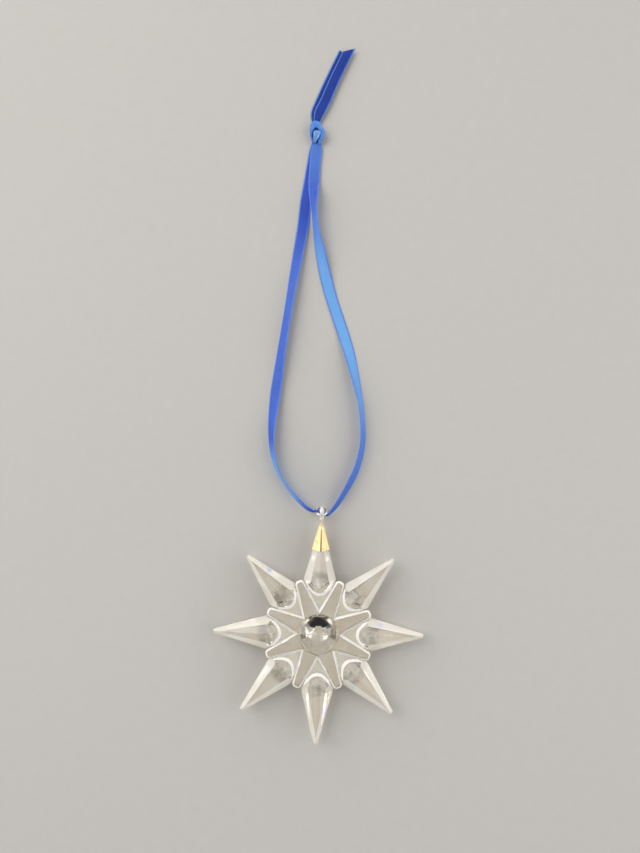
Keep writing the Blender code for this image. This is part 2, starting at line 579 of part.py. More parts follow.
def build():
    for obj in list(bpy.data.objects):
        bpy.data.objects.remove(obj, do_unlink=True)

    crystal = material("cut_crystal", (0.95, 0.95, 0.94), 0.0, transmission=1.0, ior=1.55)
    centre_crystal = material("rosette_crystal", (0.95, 0.94, 0.92), 0.0, transmission=1.0, ior=1.55)
    adhesive = material("clear_adhesive", (0.93, 0.93, 0.9), 0.05, transmission=1.0, ior=1.48)
    pale_gold = material("pale_gold_metal", (0.93, 0.88, 0.68), 0.22, metallic=1.0)
    silver = material("silver_wire", (0.9, 0.89, 0.87), 0.15, metallic=1.0)
    satin = material("blue_satin", (0.05, 0.12, 0.6), 0.38)

    star = add_empty("star_frame", (0, 0, MID_HEIGHT))
    ring_pivot = add_empty("ring_pivot", RING_SEAT, star)
    ribbon_pivot = add_empty("ribbon_pivot", RIBBON_PIVOT)
    ribbon_pivot.parent = ring_pivot
    ribbon_pivot.location = RIBBON_PIVOT - RING_SEAT

    add_object("centre_rosette", rosette_mesh(), centre_crystal, star)
    spike, film = spike_mesh(), joint_film_mesh()
    for k, point in enumerate(COMPASS):
        add_object(f"spike_{point}", spike, crystal, star, turn=k * PITCH)
        add_object(f"joint_film_{point}", film, adhesive, star, turn=k * PITCH)

    north = COMPASS.index("n") * PITCH
    add_object("hanger", hanger_mesh(), pale_gold, star, turn=north)
    flap_film = hanger_film_mesh()
    add_object("hanger_film_front", flap_film, adhesive, star, turn=north)
    back = add_object("hanger_film_back", flap_film, adhesive, star, turn=north)
    back.rotation_euler = (math.pi, 0, north)

    add_object("ring", ring_mesh(), silver, ring_pivot)

    strands = {}
    for hand, route in ((1, LEFT_ROUTE), (-1, RIGHT_ROUTE)):
        crossing = [(RING_RADIUS + RING_WIRE_RADIUS, 1), (RING_CROSSING - BUNDLE_CLEARANCE, 1),
                    (EYE_HALF_WIDTH, BUNDLE_RISE), (RIBBON_JOIN / 2, 0)]
        strands[hand] = route + [gathered(-hand * x, hand * share * BUNDLE_OVER, hand)
                                 for x, share in crossing]
    for name, rows, heading, slant in (("ribbon_left", strands[1], -1, 0),
                                       ("ribbon_right", strands[-1], -1, 0),
                                       ("ribbon_tail_rear", REAR_TAIL, 1, REAR_TAIL_CUT),
                                       ("ribbon_tail_front", FRONT_TAIL, 1, FRONT_TAIL_CUT)):
        strip = strip_mesh(rows, name, RIBBON_PIVOT, heading, slant)
        add_object(name, strip, satin, ribbon_pivot)
    knot_object(satin, ribbon_pivot)


build()
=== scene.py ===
"""Looks of the crystal star ornament: cut crystal, pale gold hanger, wire ring and satin ribbon.

Metres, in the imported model's own frame: the star lies face up on z = 0, its hanger toward +Y.
"""
import math

import bmesh
import bpy
from mathutils import Euler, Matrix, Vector, noise

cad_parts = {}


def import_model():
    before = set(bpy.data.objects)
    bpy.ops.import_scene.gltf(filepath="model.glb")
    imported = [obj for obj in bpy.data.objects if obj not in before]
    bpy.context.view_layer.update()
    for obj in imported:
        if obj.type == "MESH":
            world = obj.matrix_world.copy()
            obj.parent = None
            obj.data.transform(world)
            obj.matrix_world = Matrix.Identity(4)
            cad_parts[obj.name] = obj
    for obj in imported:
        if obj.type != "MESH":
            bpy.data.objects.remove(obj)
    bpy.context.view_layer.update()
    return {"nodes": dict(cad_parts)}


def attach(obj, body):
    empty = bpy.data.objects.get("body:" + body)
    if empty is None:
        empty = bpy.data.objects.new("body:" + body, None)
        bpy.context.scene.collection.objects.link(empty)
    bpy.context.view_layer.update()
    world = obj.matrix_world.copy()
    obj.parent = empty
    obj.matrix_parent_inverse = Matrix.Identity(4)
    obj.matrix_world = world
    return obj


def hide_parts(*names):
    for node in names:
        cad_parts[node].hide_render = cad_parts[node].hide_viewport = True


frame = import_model()

MM = 0.001
UP = Vector((0, 0, 1))
scene = bpy.context.scene
nodes = frame["nodes"]


def add_object(name, data):
    obj = bpy.data.objects.new(name, data)
    scene.collection.objects.link(obj)
    return obj


# Camera, for a picture of 640 x 853
PICTURE_HEIGHT = 853
FOCAL_PIXELS = 616
SENSOR = 36.0
CAMERA_PLACE = Vector((-2.994, 35.906, 170.366)) * MM
CAMERA_TURN = Euler((0.110997, -0.014445, 0.02777))
CLIP_START, CLIP_END = 5 * MM, 20.0


def camera():
    data = bpy.data.cameras.new("camera")
    data.sensor_width = SENSOR
    data.lens = FOCAL_PIXELS * SENSOR / PICTURE_HEIGHT
    data.clip_start, data.clip_end = CLIP_START, CLIP_END
    obj = add_object("camera", data)
    obj.location = CAMERA_PLACE
    obj.rotation_euler = CAMERA_TURN
    scene.camera = obj


camera()

# Ribbon, as in the part's source
EYE_CENTRE = 31.0 * MM
RIBBON_PIVOT = Vector((0, 31.251, 2.899)) * MM
RING_TILT = math.radians(45.0)
RING_NORMAL = Vector((0, math.sin(RING_TILT), math.cos(RING_TILT)))
RIBBON_WIDTH = 3.2 * MM
RIBBON_THICKNESS = 0.25 * MM
BUNDLE_WIDTH = 0.6 * MM
BUNDLE_THICKNESS = 0.4 * MM
BUNDLE_OVER = 0.73 * MM
PINCH_WIDTH = 2.2 * MM
KNOT_END_WIDTH = 1.4 * MM        # of the strands and tails under the knot
FRONT_TAIL_CUT = 2.2 * MM        # how much longer the east selvedge is at the cut end
REAR_TAIL_CUT = -1.1 * MM
KNOT_CENTRE = Vector((-4.3, 110.45, 0)) * MM + Vector((0, EYE_CENTRE, 0))


def resting(x, y, lean, lift=0.0, width=RIBBON_WIDTH, thickness=RIBBON_THICKNESS):
    """A row of a route: place, lean, width and thickness, on the lower selvedge."""
    angle = math.radians(lean)
    height = abs(math.sin(angle)) * width / 2 + math.cos(angle) * thickness / 2
    return (x * MM, y * MM + EYE_CENTRE, height + lift * MM, lean, width, thickness)


def gathered(x, share, hand):
    """Where the gathered ribbon lies on, in or under the ring."""
    place = RIBBON_PIVOT + hand * share * BUNDLE_OVER * RING_NORMAL
    lean = hand * math.degrees(RING_TILT)
    return (-hand * x * MM, place.y, place.z, lean, BUNDLE_WIDTH, BUNDLE_THICKNESS)


# Distance to either side of the eye's middle in mm, and share of the way over or under the ring's wire
CROSSING = ((1.68, 1), (0.682, 1), (0.55, 0.2), (0.05, 0))
# Places from the eye's middle in mm, leans in degrees
LEFT_ROUTE = [
    resting(-4.45, 108.9, 0, 0.1, KNOT_END_WIDTH), resting(-4.6, 107.4, 0, 0.05, PINCH_WIDTH),
    resting(-4.85, 104.6, 0, 0.02), resting(-5.3, 101.5, 0), resting(-6.1, 95.5, 0),
    resting(-6.95, 89.4, 0), resting(-7.3, 85.2, 0), resting(-7.8, 80.0, 8), resting(-9.5, 67.8, 30),
    resting(-11.1, 55.8, 44), resting(-12.6, 43.4, 38), resting(-13.7, 33.0, 24),
    resting(-14.4, 24.0, 48), resting(-14.2, 18.2, 62), resting(-13.5, 14.6, 69),
    resting(-12.3, 11.2, 75), resting(-10.3, 7.9, 77), resting(-7.4, 4.5, 72, 0.15),
    resting(-4.4, 1.7, 64, 0.9, 2.3 * MM, 0.3 * MM),
    resting(-2.5, 0.75, 50, 2.2, 1.3 * MM, 0.4 * MM),
] + [gathered(x, share, 1) for x, share in CROSSING]
RIGHT_ROUTE = [
    resting(-4.2, 108.9, 0, 0.5, KNOT_END_WIDTH), resting(-4.2, 107.4, 0, 0.45, PINCH_WIDTH),
    resting(-4.35, 104.6, 0, 0.4),
    resting(-4.6, 101.5, 0, 0.35), resting(-4.8, 95.5, 4, 0.36),
    resting(-4.7, 91.5, 30, 0.5), resting(-4.6, 88.5, 52, 0.38), resting(-4.4, 85.5, 62, 0.08),
    resting(-3.75, 80.1, 60),
    resting(-2.4, 74.1, 36), resting(-0.95, 68.1, 14), resting(0.75, 62.1, 2),
    resting(2.75, 56.2, 0), resting(4.8, 50.4, -4), resting(6.85, 44.0, -22),
    resting(8.65, 36.8, -44), resting(10.2, 29.7, -60), resting(10.85, 22.6, -60),
    resting(10.75, 19.0, -60), resting(10.15, 15.5, -58), resting(9.1, 11.9, -57),
    resting(7.5, 8.4, -58), resting(5.6, 4.9, -60, 0.05, 2.9 * MM),
    resting(3.9, 2.1, -54, 0.35, 2.1 * MM, 0.3 * MM),
    resting(2.6, 0.55, -48, 0.9, 1.3 * MM, 0.4 * MM),
] + [gathered(x, share, -1) for x, share in CROSSING]
REAR_TAIL = [resting(-4.95, 112.0, 0, 0.3, KNOT_END_WIDTH), resting(-5.0, 113.55, 0, 0.1, 1.8 * MM),
             resting(-4.7, 116.6, 3), resting(-3.5, 120.3, 5),
             resting(-1.1, 126.5, 6), resting(1.6, 133.0, 5), resting(2.9, 136.0, 4)]
FRONT_TAIL = [resting(-4.6, 112.0, 0, 1.0, KNOT_END_WIDTH), resting(-4.5, 113.55, 0, 0.65, 1.8 * MM),
              resting(-3.6, 117.0, 6, 0.45),
              resting(-2.1, 120.4, 8, 0.4), resting(0.2, 126.6, 8, 0.4),
              resting(2.9, 133.1, 8, 0.4), resting(4.4, 136.7, 8, 0.4)]
NORTH, SOUTH = 1, -1             # the way that a route runs

# Ribbon detail
WEAVE_STEP = 0.2 * MM            # between sections along the ribbon
FACE_POINTS = 13                 # across each face
FACE_CROWDING = 0.75             # power that sets them closer together at the selvedges
FACE_SHARE = 0.985               # of the half width that they reach
CLOTH_HALF = 0.06 * MM           # half the cloth's own thickness
SELVEDGE_HALF = 0.11 * MM        # half thickness of the corded selvedge
SELVEDGE_SHARE = 0.86            # where the selvedge starts, from the middle
SELVEDGE_RISE = 0.06             # share across over which it rises
SELVEDGE_LOW = 0.75              # share of its height that it keeps between two loops
EDGE_SHARE = 0.98                # where its outermost points start
EDGE_THINNING = 0.62             # share of the thickness that is left there
CUP = 0.05 * MM                  # how far the middle stands up
PICOT_PITCH = 0.6 * MM           # the small loops along a selvedge
PICOT_REACH = 0.06 * MM
PLEATS = 3.0
# How far the ribbon is drawn together, from 0 to 1, while each of these comes on
PLEATING = (0.12, 0.7)
LOOPS_DRAWN_IN = (0.3, 0.6)
CORD_FLATTENED = (0.4, 0.8)
SLANT_START = 0.72               # share of a tail's length at which it starts to follow its slanting cut
FRAY = 0.22 * MM
FRAY_GRAIN, FRAY_SEED, FRAY_STEP = 9.0, 3.7, 0.1


def smooth_line(points, step):
    """Catmull-Rom curve through rows of numbers, whose first three are a position."""
    rows = [points[0]] + list(points) + [points[-1]]
    line = []
    for a, b, c, d in zip(rows, rows[1:], rows[2:], rows[3:]):
        span = math.dist(b[:3], c[:3])
        count = max(1, round(span / step))
        for k in range(count):
            t = k / count
            line.append(tuple(
                0.5 * (2 * q + (r - p) * t + (2 * p - 5 * q + 4 * r - s) * t * t
                       + (3 * q - p - 3 * r + s) * t * t * t)
                for p, q, r, s in zip(a, b, c, d)))
    line.append(tuple(points[-1]))
    return line


def smoothstep(low, high, value):
    t = min(1.0, max(0.0, (value - low) / (high - low)))
    return t * t * (3 - 2 * t)


def ribbon_profile(width, depth, length):
    """One section's loop: (share across, distance across, distance out), face first, then back."""
    tight = 1 - min(1.0, width / RIBBON_WIDTH)
    fold = max(0.0, depth / 2 - CLOTH_HALF) * smoothstep(*PLEATING, tight)
    picot = 0.5 + 0.5 * math.cos(2 * math.pi * length / PICOT_PITCH)
    picot *= 1 - smoothstep(*LOOPS_DRAWN_IN, tight)
    shares = [-1 + 2 * i / (FACE_POINTS - 1) for i in range(FACE_POINTS)]
    shares = [math.copysign(abs(s) ** FACE_CROWDING, s) * FACE_SHARE for s in shares]
    face, back = [], []
    for s in shares:
        middle = CUP * (1 - tight) * (1 - s * s) + fold * math.cos(PLEATS * math.pi * s)
        cord = smoothstep(SELVEDGE_SHARE - SELVEDGE_RISE, SELVEDGE_SHARE, abs(s))
        cord *= 1 - smoothstep(*CORD_FLATTENED, tight)
        cord *= SELVEDGE_LOW + (1 - SELVEDGE_LOW) * picot
        half = CLOTH_HALF + (SELVEDGE_HALF - CLOTH_HALF) * cord
        if abs(s) > EDGE_SHARE:
            half *= EDGE_THINNING
        across = s * width / 2
        face.append((s, across, middle + half))
        back.append((s, across, middle - half))
    reach = width / 2 + PICOT_REACH * picot
    edge = fold * math.cos(PLEATS * math.pi)
    return face + [(1, reach, edge)] + back[::-1] + [(-1, -reach, edge)]


def stations(rows, step, heading=NORTH):
    """Sections of a route: row, place, distance so far, and the directions along, across and out of it."""
    line = smooth_line(rows, step)
    last, length, found = len(line) - 1, 0.0, []
    for i, row in enumerate(line):
        place = Vector(row[:3])
        if i:
            length += (place - Vector(line[i - 1][:3])).length
        along = Vector(line[min(i + 1, last)][:3]) - Vector(line[max(i - 1, 0)][:3])
        along.normalize()
        side = heading * along.cross(UP).normalized()
        up = heading * side.cross(along).normalized()
        angle = math.radians(row[3])
        across = math.cos(angle) * side + math.sin(angle) * up
        face = math.cos(angle) * up - math.sin(angle) * side
        found.append((row, place, length, along, across, face))
    return found


def skin(rings, coords, woven_ends=True):
    """A closed tube over rings of points, with the weave's coordinates in mm along and across."""
    bm = bmesh.new()
    weave = bm.loops.layers.uv.new("weave")

    def lay(face, uvs):
        for corner, uv in zip(face.loops, uvs):
            corner[weave].uv = uv

    rings = [[bm.verts.new(p) for p in ring] for ring in rings]
    for near, far, near_uv, far_uv in zip(rings, rings[1:], coords, coords[1:]):
        for i in range(len(near)):
            j = (i + 1) % len(near)
            quad = bm.faces.new((near[i], near[j], far[j], far[i]))
            quad.smooth = True
            lay(quad, (near_uv[i], near_uv[j], far_uv[j], far_uv[i]))
    for end, order in ((0, -1), (-1, 1)):
        cap = bm.faces.new(rings[end][::order])
        if woven_ends:
            lay(cap, coords[end][::order])
    bmesh.ops.recalc_face_normals(bm, faces=bm.faces)
    return bm


def to_mesh(bm, name):
    mesh = bpy.data.meshes.new(name)
    bm.to_mesh(mesh)
    bm.free()
    return mesh


def ribbon_mesh(name, rows, heading, slant, fray):
    """A woven strip along a route, slanted and frayed at a cut end; also its path and length."""
    sections = stations(rows, WEAVE_STEP, heading)
    count = len(sections)
    rings, coords = [], []
    for i, (row, place, length, along, across, face) in enumerate(sections):
        profile = ribbon_profile(row[4], row[5], length)
        loop = [place + across * x + face * h for _, x, h in profile]
        if slant:
            end = smoothstep(count * SLANT_START, count - 1, i)
            for k, (s, _, _) in enumerate(profile):
                loop[k] += along * end * slant / 2 * s
                if i == count - 1:
                    loop[k] += along * fray * noise.noise((s * FRAY_GRAIN, FRAY_SEED, count * FRAY_STEP))
        lift = max(0.0, -min(p.z for p in loop))
        rings.append([p + Vector((0, 0, lift)) for p in loop])
        coords.append([(length / MM, s * RIBBON_WIDTH / 2 / MM) for s, _, _ in profile])
    return to_mesh(skin(rings, coords), name), [row[:3] for row, *_ in sections], sections[-1][2]


def add_piece(name, mesh, material, body):
    obj = add_object(name, mesh)
    obj.data.materials.clear()
    obj.data.materials.append(material)
    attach(obj, body)
    return obj


class Nodes:
    """Short hand for the node tree of a material or of the world."""

    def __init__(self, owner, shader="Principled BSDF"):
        self.owner = owner
        self.owner.use_nodes = True
        self.tree = owner.node_tree
        self.shader = self.tree.nodes[shader]

    def set(self, **values):
        for key, value in values.items():
            self.shader.inputs[key.replace("_", " ")].default_value = value

    def feed(self, socket, value):
        if isinstance(value, bpy.types.NodeSocket):
            self.tree.links.new(value, socket)
        else:
            socket.default_value = value

    def add(self, kind, inputs=None, **settings):
        node = self.tree.nodes.new(kind)
        for key, value in settings.items():
            setattr(node, key, value)
        for key, value in (inputs or {}).items():
            self.feed(node.inputs[key], value)
        return node

    def place(self):
        return self.add("ShaderNodeTexCoord").outputs["Object"]

    def noise(self, place, scale, detail, roughness=0.5):
        return self.add("ShaderNodeTexNoise", {"Vector": place, "Scale": scale, "Detail": detail,
                                               "Roughness": roughness}).outputs[0]

    def span(self, value, low, high, start=0.0, end=1.0, smooth=False):
        """The value's way from low to high, as one from start to end."""
        return self.add("ShaderNodeMapRange", {"Value": value, "From Min": low, "From Max": high,
                                               "To Min": start, "To Max": end},
                        interpolation_type="SMOOTHSTEP" if smooth else "LINEAR").outputs[0]

    def distance(self, place, centre):
        return self.add("ShaderNodeVectorMath", {0: place, 1: centre}, operation="DISTANCE").outputs["Value"]

    def math(self, operation, a, b=0.0, c=0.0):
        return self.add("ShaderNodeMath", {0: a, 1: b, 2: c}, operation=operation).outputs[0]

    def mix(self, factor, a, b, blend="MIX"):
        return self.add("ShaderNodeMix", {0: factor, 6: a, 7: b}, data_type="RGBA", blend_type=blend).outputs[2]

    def ramp(self, factor, *stops):
        node = self.add("ShaderNodeValToRGB", {0: factor})
        elements = node.color_ramp.elements
        while len(elements) < len(stops):
            elements.new(0.5)
        for element, (place, level) in zip(elements, stops):
            element.position, element.color = place, grey(level)
        return node.outputs[0]

    def bump(self, height, strength, distance):
        node = self.add("ShaderNodeBump", {"Height": height, "Strength": strength, "Distance": distance})
        self.to(node.outputs[0], "Normal")

    def to(self, socket, name):
        self.tree.links.new(socket, self.shader.inputs[name])


def grey(value):
    return (value, value, value, 1.0)


def material_nodes(name):
    return Nodes(bpy.data.materials.new(name))


# Satin, in mm along and across the ribbon
FLOAT_LENGTH, FLOAT_WIDTH, FLOAT_GAP, FLOAT_STAGGER = 0.62, 0.1, 0.014, 0.4
FLOAT_LEVELS, GAP_LEVEL = (0.72, 1.0), 0.2   # shares of the colour
FLOAT_RELIEF, LOOP_RELIEF = -0.5, 0.8        # shares of the bump
WEAVE_BUMP = 0.03 * MM
DRIFT_GRAIN, GLITTER_GRAIN = 0.22, 4.0       # scales of the slow change along it and of the fine glitter in the painted highlight
CONTRAST = (0.35, 0.65)          # the part of a noise that is spread over the whole range
SELVEDGE_COLOUR = (1.24, 1.34)   # from the ribbon's middle, where its body's colour gives way
STREAK = (0.12, 5.0, 1.0)        # scale of the long streaks
THREAD = (0.20, 0.42, 0.95, 1)   # the bright thread of the selvedge
CERULEAN, AZURE = (0.06, 0.30, 0.96, 1), (0.35, 0.71, 1.0, 1)   # painted highlight: the colours of floats that lie full in the light
# Each satin's deep, royal and bright threads; the knot's two are lighter copies of the strands' satin, painted
# light
ROYAL = ((0.020, 0.038, 0.41), (0.030, 0.062, 0.56), (0.045, 0.12, 0.76))
REVERSE = ((0.010, 0.027, 0.24), (0.015, 0.042, 0.33), (0.02, 0.06, 0.42))
KNOT_PAINTED_LIGHT = ((0.055, 0.18, 0.72), (0.10, 0.32, 0.90), (0.22, 0.50, 1.0))
FOLD_PAINTED_LIGHT = ((0.14, 0.34, 0.84), (0.24, 0.48, 0.95), (0.40, 0.64, 1.0))
# Painted highlight along each strand: distance from the knot in mm, and how much of the floats it lightens
LEFT_PAINTED_SHEEN = ((0, 0.0), (25, 0.0), (45, 0.15), (90, 0.1), (98, 0.9), (107, 0.8), (112, 0.1), (115, 0.0))
RIGHT_PAINTED_SHEEN = ((0, 0.35), (12, 0.25), (18, 0.05), (28, 0.4), (40, 0.85), (64, 0.95), (80, 0.75), (90, 0.4),
               (101, 0.3), (115, 0.2))


def satin_material(name, colours, specular, painted_sheen=()):
    """Woven satin with a corded, looped selvedge; the last argument is where along it a painted highlight
    lightens the floats.
    """
    n = material_nodes(name)
    deep, royal, bright = ((*colour, 1) for colour in colours)
    uv = n.add("ShaderNodeUVMap", uv_map="weave").outputs[0]
    split = n.add("ShaderNodeSeparateXYZ", {0: uv})
    along, across = split.outputs[0], split.outputs[1]
    floats = n.add("ShaderNodeTexBrick", {
        "Vector": uv, "Scale": 1.0, "Brick Width": FLOAT_LENGTH, "Row Height": FLOAT_WIDTH,
        "Color1": grey(FLOAT_LEVELS[0]), "Color2": grey(FLOAT_LEVELS[1]), "Mortar": grey(GAP_LEVEL),
        "Mortar Size": FLOAT_GAP, "Mortar Smooth": 0.6,
    }, offset=FLOAT_STAGGER)
    drift = n.span(n.noise(uv, DRIFT_GRAIN, 3.0), *CONTRAST)
    streak_place = n.add("ShaderNodeMapping", {"Vector": uv, "Scale": STREAK}).outputs[0]
    streaks = n.noise(streak_place, 1.0, 2.0)
    selvedge = n.span(n.math("ABSOLUTE", across), *SELVEDGE_COLOUR, smooth=True)
    loops = n.math("SINE", n.math("MULTIPLY", along, 2 * math.pi / (PICOT_PITCH / MM)))
    dots = n.span(loops, -0.4, 0.6)
    body = n.mix(drift, deep, royal)
    body = n.mix(n.math("MULTIPLY", streaks, 0.5), body, bright)
    # Painted highlight: the floats turn cerulean to azure where the satin would catch the light
    if painted_sheen:
        length = painted_sheen[-1][0]
        painted_sheen_share = n.ramp(n.math("DIVIDE", along, length), *((place / length, level) for place, level in painted_sheen))
        glitter = n.span(n.noise(uv, GLITTER_GRAIN, 2.0, 0.6), *CONTRAST)
        body = n.mix(painted_sheen_share, body, n.mix(glitter, CERULEAN, AZURE))
    body = n.mix(0.5, body, n.mix(1.0, body, floats.outputs[0], "MULTIPLY"))
    thread = n.mix(dots, royal, THREAD)
    n.to(n.mix(selvedge, body, thread), "Base Color")
    height = n.math("ADD", n.math("MULTIPLY", floats.outputs[1], FLOAT_RELIEF),
                    n.math("MULTIPLY", n.math("MULTIPLY", dots, selvedge), LOOP_RELIEF))
    n.bump(height, 0.35, WEAVE_BUMP)
    n.to(n.span(selvedge, 0.0, 1.0, 0.45, 0.6), "Roughness")
    tangent = n.add("ShaderNodeTangent", direction_type="UV_MAP", uv_map="weave")
    n.to(tangent.outputs[0], "Tangent")
    n.set(Sheen_Weight=0.25, Sheen_Roughness=0.4, Sheen_Tint=(0.45, 0.5, 1.0, 1), Anisotropic=0.9,
          Anisotropic_Rotation=0.25, Specular_IOR_Level=specular, Specular_Tint=(0.5, 0.78, 1.0, 1))
    return n.owner


# Each strand has its own painted highlight along it
left_satin = satin_material("blue_satin", ROYAL, 0.6, LEFT_PAINTED_SHEEN)
right_satin = satin_material("blue_satin_right", ROYAL, 0.6, RIGHT_PAINTED_SHEEN)
reverse = satin_material("blue_satin_reverse", REVERSE, 0.4)
# Lighter copies of the satin for the knot: painted light where the knot catches more light
drawn = satin_material("blue_satin_painted_light", KNOT_PAINTED_LIGHT, 1.0)
crest = satin_material("blue_satin_fold_painted_light", FOLD_PAINTED_LIGHT, 1.0)


def ribbon_piece(node, satin, rows, heading, slant=0.0, fray=0.0):
    """A woven strip in place of one of the ribbon's nodes; also its path and length."""
    name = node + "_satin"
    mesh, path, length = ribbon_mesh(name, rows, heading, slant, fray)
    piece = add_piece(name, mesh, satin, "ribbon")
    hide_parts(node)
    return piece, path, length


left, left_path, left_length = ribbon_piece("ribbon_left", left_satin, LEFT_ROUTE, SOUTH)
right, right_path, right_length = ribbon_piece("ribbon_right", right_satin, RIGHT_ROUTE, SOUTH)
rear_tail, _, _ = ribbon_piece("ribbon_tail_rear", reverse, REAR_TAIL, NORTH, REAR_TAIL_CUT, FRAY)
front_tail, _, _ = ribbon_piece("ribbon_tail_front", reverse, FRONT_TAIL, NORTH, FRONT_TAIL_CUT, FRAY)


# Knot: a wrap pulled round the gathered strands, its turn under them, and the fold that shows through it.
# Rows are place from the knot's middle in mm (x, y, z), band width, band thickness, roll in degrees.
WRAP = [
    (-1.1, -3.25, 0.75, 0.5, 0.5, 0), (-1.5, -2.4, 1.25, 0.55, 0.6, 0), (-1.74, -1.3, 1.65, 0.7, 0.7, 8),
    (-1.72, -0.3, 1.9, 1.0, 0.75, 12), (-1.55, 0.45, 2.1, 1.5, 0.8, 14), (-1.15, 1.2, 2.2, 2.0, 0.85, 10),
    (-0.6, 1.55, 2.25, 2.2, 0.85, 4), (0.0, 1.4, 2.25, 1.9, 0.85, -4), (0.65, 0.75, 2.2, 1.35, 0.85, -8),
    (1.3, 0.0, 2.1, 1.15, 0.8, -10), (1.62, -0.7, 1.95, 1.3, 0.8, -10), (1.4, -1.55, 1.8, 1.4, 0.8, -6),
    (1.05, -2.45, 1.5, 1.4, 0.75, -4), (0.8, -3.1, 1.1, 1.1, 0.6, 0), (0.65, -3.5, 0.75, 0.8, 0.5, 0),
]
FOLD = [
    (0.2, 0.4, 1.0, 1.5, 0.5, 0), (0.2, -0.05, 1.6, 2.0, 0.6, 0), (0.15, -0.55, 2.0, 2.35, 0.75, 0),
    (0.0, -1.2, 2.15, 2.2, 0.85, 0), (-0.25, -2.0, 2.0, 1.8, 0.8, 0), (-0.55, -2.7, 1.55, 1.2, 0.7, 0),
    (-0.75, -3.2, 0.9, 0.8, 0.6, 0),
]
COLLAR = [
    (-1.0, 0.4, 0.8, 1.5, 0.8, 0), (-0.9, 1.3, 0.9, 1.6, 0.9, 0), (-0.6, 2.1, 0.9, 1.6, 0.9, 0),
    (-0.4, 2.7, 0.8, 1.5, 0.6, 0),
]
CORE = [
    (-0.1, -3.0, 0.6, 2.0, 0.8, 0), (-0.1, -1.8, 0.85, 3.3, 1.2, 0), (-0.1, -0.4, 0.95, 3.6, 1.4, 0),
    (-0.2, 0.8, 0.9, 3.0, 1.2, 0), (-0.3, 1.8, 0.7, 1.8, 0.8, 0),
]
UNDER = [
    (-1.7, -1.6, 1.0, 0.9, 0.5, 0), (-1.3, -0.9, 0.55, 1.7, 0.6, 0), (-0.4, -0.2, 0.36, 2.3, 0.6, 0),
    (0.6, 0.45, 0.38, 2.2, 0.6, 0), (1.3, 0.6, 0.65, 1.6, 0.6, 0), (1.7, 0.3, 1.1, 0.9, 0.5, 0),
]
KNOT_STEP = 0.16 * MM
KNOT_POINTS = 17                 # across each face of a band
CREASE_SHARE = 0.32              # of a band's height that its creases take
CREASE_DRIFT, CREASE_GRAIN = 0.25, 0.35      # how far they wander across it, and how often for each mm
LEAN_SHARE, LEAN_GRAIN, LEAN_SEED = 0.06, 0.7, 5.0
BAND_WEAVE = 0.8                 # share of the ribbon's weave that shows across a band


def band_mesh(name, rows, creases, seed):
    """A ribbon drawn together into a creased band, closed at both ends."""
    places = [(x * MM, y * MM, z * MM, roll, width * MM, thickness * MM)
              for x, y, z, width, thickness, roll in rows]
    rings, coords = [], []
    for row, place, length, _, across, face in stations(places, KNOT_STEP):
        width, thickness = row[4:]
        drift = CREASE_DRIFT * noise.noise((length / MM * CREASE_GRAIN, seed, 0.0))
        ring, uv = [], []
        for turn in (1, -1):
            for k in range(KNOT_POINTS):
                s = turn * (-1 + 2 * (k + 0.5) / KNOT_POINTS)
                bulge = math.sqrt(1 - s * s)
                wave = math.cos(creases * math.pi * (s + drift))
                height = thickness / 2 * bulge * (1 - CREASE_SHARE + CREASE_SHARE * wave)
                lean = LEAN_SHARE * width * noise.noise((length / MM * LEAN_GRAIN, seed + LEAN_SEED, s))
                ring.append(place + across * (s * width / 2 + lean) + face * turn * height)
                uv.append((length / MM, s * RIBBON_WIDTH / 2 / MM * BAND_WEAVE))
        rings.append(ring)
        coords.append(uv)
    bm = skin(rings, coords, woven_ends=False)
    bmesh.ops.translate(bm, vec=KNOT_CENTRE, verts=bm.verts)
    lowest = min(v.co.z for v in bm.verts)
    if lowest < 0:
        bmesh.ops.translate(bm, vec=(0, 0, -lowest), verts=bm.verts)
    return to_mesh(bm, name)


def knot_band(name, satin, rows, creases, seed):
    return add_piece(name, band_mesh(name, rows, creases, seed), satin, "ribbon")


# The wrap and the under band take the lighter copy and the fold the lightest one: painted light
wrap = knot_band("ribbon_knot_wrap", drawn, WRAP, creases=2.5, seed=1.0)
fold = knot_band("ribbon_knot_fold", crest, FOLD, creases=4.0, seed=7.0)
collar = knot_band("ribbon_knot_collar", reverse, COLLAR, creases=3.0, seed=13.0)
# The core takes the dark reverse satin: painted shade in the gaps of the knot
core = knot_band("ribbon_knot_core", reverse, CORE, creases=3.0, seed=19.0)
under = knot_band("ribbon_knot_under", drawn, UNDER, creases=3.0, seed=23.0)
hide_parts("ribbon_knot")


# Crystal; the scale of each noise is per metre
CRYSTAL_IOR = 1.58
CLOUD = (1.0, 0.975, 0.92, 1)
CLOUD_GRAIN = 260.0
# Painted dark reflection at the spikes' inner ends, in place of the dark image that the crystal refracts there
PAINTED_DARK_REFLECTION = (0.40, 0.36, 0.31, 1)
DARK_REFLECTION_GRAIN = 420.0
DARK_REFLECTION_PLACE = 14.0 * MM          # from the middle
DARK_REFLECTION_REACH = 2.4 * MM
PAINTED_GLINT_CORE = 0.2                 # share of a glint's radius that has its full colour
# Painted glints, coloured spots put in the crystal's colour for the light that its facets split into colours:
# place in mm, radius in mm, colour
PAINTED_GLINTS = (
    ((2.8, -15.3, 4.5), 0.9, (1.0, 0.62, 0.25)), ((2.6, -16.7, 4.5), 0.9, (1.0, 0.90, 0.40)),
    ((2.0, -19.0, 4.5), 1.8, (0.78, 0.70, 1.0)), ((-13.3, 16.1, 4.5), 1.1, (0.55, 0.75, 1.0)),
    ((6.3, 1.9, 5.3), 0.9, (1.0, 0.70, 0.58)), ((9.4, -12.5, 4.5), 1.6, (0.62, 0.88, 0.92)),
    ((-3.8, 11.1, 5.2), 0.8, (0.90, 0.82, 1.0)), ((16.0, 2.6, 4.8), 1.5, (0.88, 0.82, 1.0)),
)


